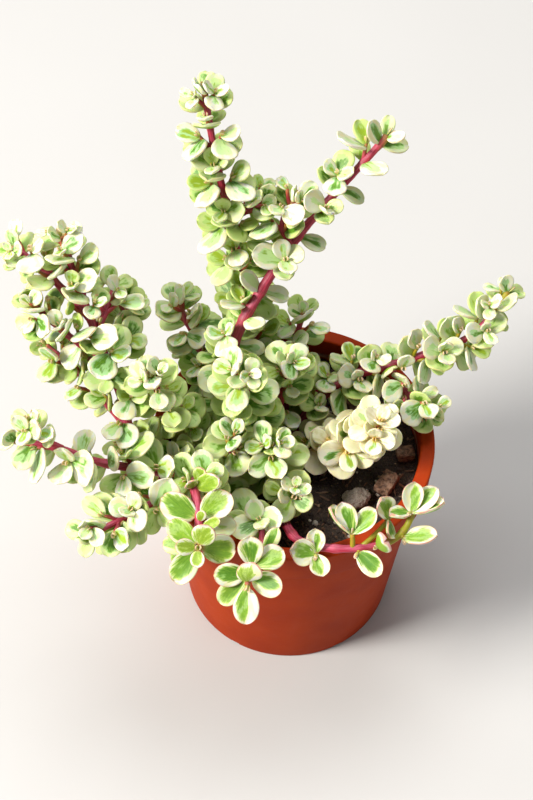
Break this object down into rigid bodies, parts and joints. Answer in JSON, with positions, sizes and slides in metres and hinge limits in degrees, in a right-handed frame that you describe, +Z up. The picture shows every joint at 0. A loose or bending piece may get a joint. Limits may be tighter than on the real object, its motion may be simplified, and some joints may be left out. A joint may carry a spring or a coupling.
{
  "type": "potted elephant bush",
  "caption": "Variegated elephant bush with crimson stems and small round cream-edged green leaves, spreading over the rim of a round terracotta-coloured plastic nursery pot.",
  "frame": {"origin": "middle of the pot's flat underside, on the surface it stands on", "axes": "+Z up through the middle of the pot, -Y towards the side where the longest shoots hang over the rim's front, +X to the right seen from there"},
  "size_m": [0.2172, 0.176, 0.2436],
  "materials": {
    "pot_plastic": "satin terracotta-coloured moulded plastic",
    "potting_soil": "dark, loose, slightly fibrous potting mix",
    "bark": "rough bark chips",
    "pumice": "pale porous pumice",
    "stem_and_leaves": "crimson waxy stems with satin, fleshy green leaves edged in cream and a thin pink line",
    "cream_shoot": "satin, fleshy cream-yellow leaves with an orange growing tip",
    "leaf": "satin, fleshy green leaf with a broad cream margin and a thin pink edge"
  },
  "bodies": {
    "root": {"bark_chunk_back": "bark", "bark_chunk_front": "bark", "bark_chunk_right": "bark", "leaf_front_behind_left": "leaf", "leaf_front_behind_low": "leaf", "leaf_front_bud_left": "leaf", "leaf_front_bud_right": "leaf", "leaf_front_centre_down": "leaf", "leaf_front_centre_left": "leaf", "leaf_front_centre_up": "leaf", "leaf_front_left": "leaf", "leaf_front_low_left": "leaf", "leaf_front_low_right": "leaf", "leaf_front_right": "leaf", "leaf_front_right_low": "leaf", "leaf_front_top_left": "leaf", "leaf_front_top_middle": "leaf", "leaf_front_top_right": "leaf", "leaf_front_upper_left": "leaf", "leaf_low_back_right": "leaf", "leaf_low_bottom": "leaf", "leaf_low_centre": "leaf", "leaf_low_left": "leaf", "leaf_low_lower_left": "leaf", "leaf_low_lower_right": "leaf", "leaf_low_right": "leaf", "leaf_low_top": "leaf", "pot": "pot_plastic", "pumice_chunk": "pumice", "shoot_back": "stem_and_leaves", "shoot_back_left": "stem_and_leaves", "shoot_back_left_side": "stem_and_leaves", "shoot_back_low": "stem_and_leaves", "shoot_back_right": "stem_and_leaves", "shoot_back_right_side": "stem_and_leaves", "shoot_cream": "cream_shoot", "shoot_front": "stem_and_leaves", "shoot_front_inner": "stem_and_leaves", "shoot_front_low": "stem_and_leaves", "shoot_front_right": "stem_and_leaves", "shoot_left_front": "stem_and_leaves", "shoot_left_inner": "stem_and_leaves", "shoot_left_low": "stem_and_leaves", "shoot_left_low_side": "stem_and_leaves", "shoot_left_up": "stem_and_leaves", "shoot_left_up_back": "stem_and_leaves", "shoot_left_up_under": "stem_and_leaves", "shoot_left_up_end": "stem_and_leaves", "shoot_left_up_inner": "stem_and_leaves", "shoot_left_up_low": "stem_and_leaves", "shoot_left_up_middle": "stem_and_leaves", "shoot_middle": "stem_and_leaves", "shoot_middle_front": "stem_and_leaves", "shoot_middle_front_left": "stem_and_leaves", "shoot_middle_left": "stem_and_leaves", "shoot_middle_right": "stem_and_leaves", "shoot_right": "stem_and_leaves", "shoot_right_low": "stem_and_leaves", "shoot_right_side": "stem_and_leaves", "soil": "potting_soil"}
  },
  "joints": []
}
